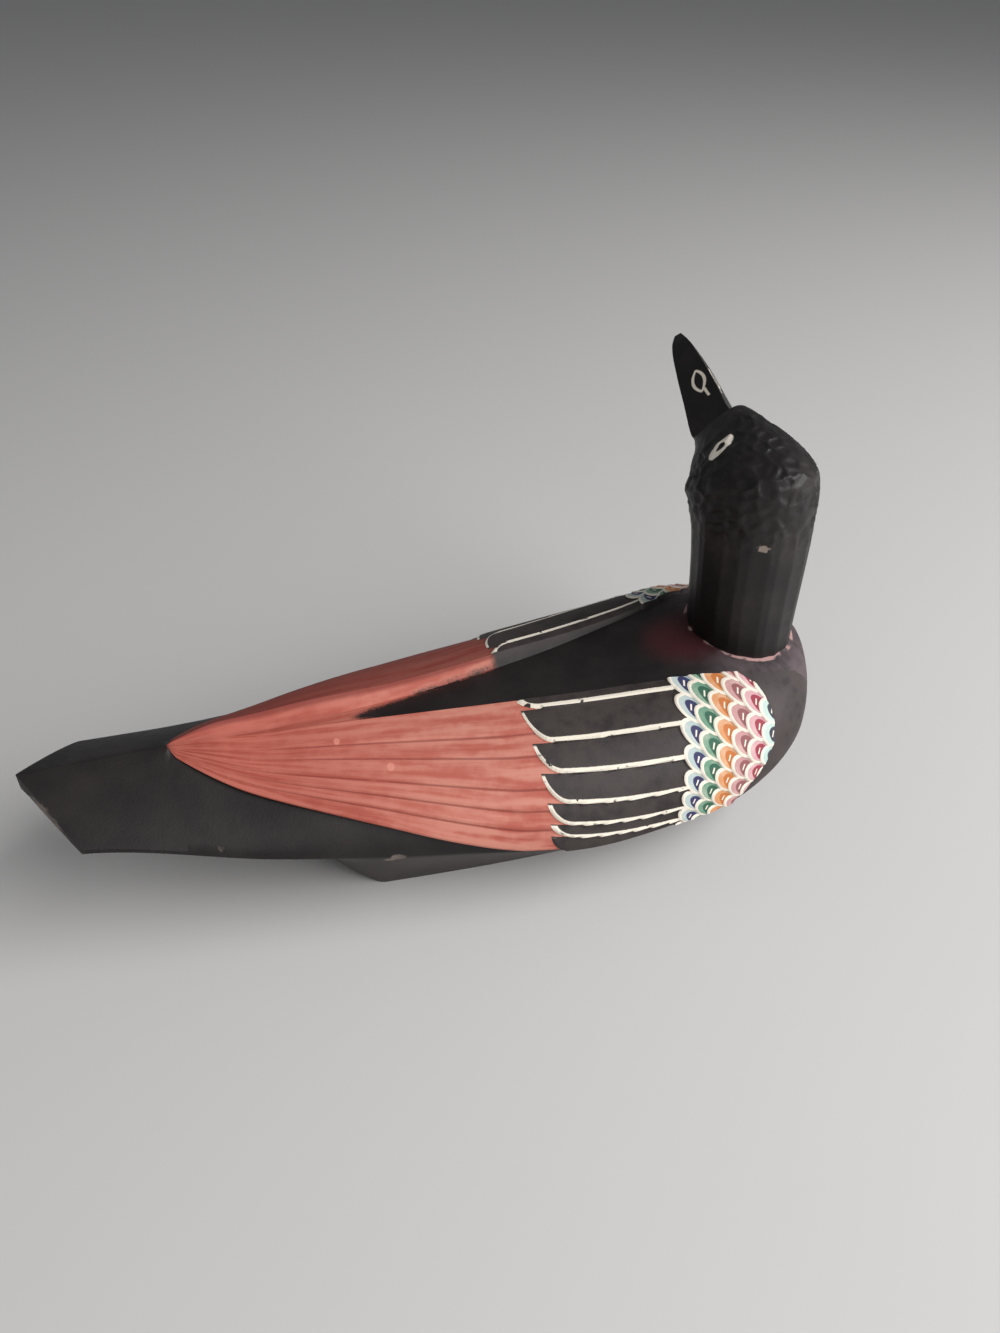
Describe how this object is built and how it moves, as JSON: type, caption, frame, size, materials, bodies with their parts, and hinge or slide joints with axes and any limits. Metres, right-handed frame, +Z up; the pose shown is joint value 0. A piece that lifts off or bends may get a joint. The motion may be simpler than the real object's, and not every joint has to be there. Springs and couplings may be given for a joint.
{
  "type": "carved wooden bird",
  "caption": "Carved and painted wooden bird with folded wings, a level tail and its head turned back over the left shoulder; a shelf ornament that stands on its flat underside.",
  "frame": {"origin": "middle of the body's flat underside", "axes": "+X from tail to breast, +Y the bird's left side, +Z up"},
  "size_m": [0.2995, 0.1332, 0.1659],
  "materials": {
    "body_paint": "satin black paint over carved wood, with red, cream and coloured feathers",
    "neck_paint": "satin black paint over knife-cut wood"
  },
  "bodies": {
    "root": {"body": "body_paint", "neck_and_head": "neck_paint"}
  },
  "joints": []
}
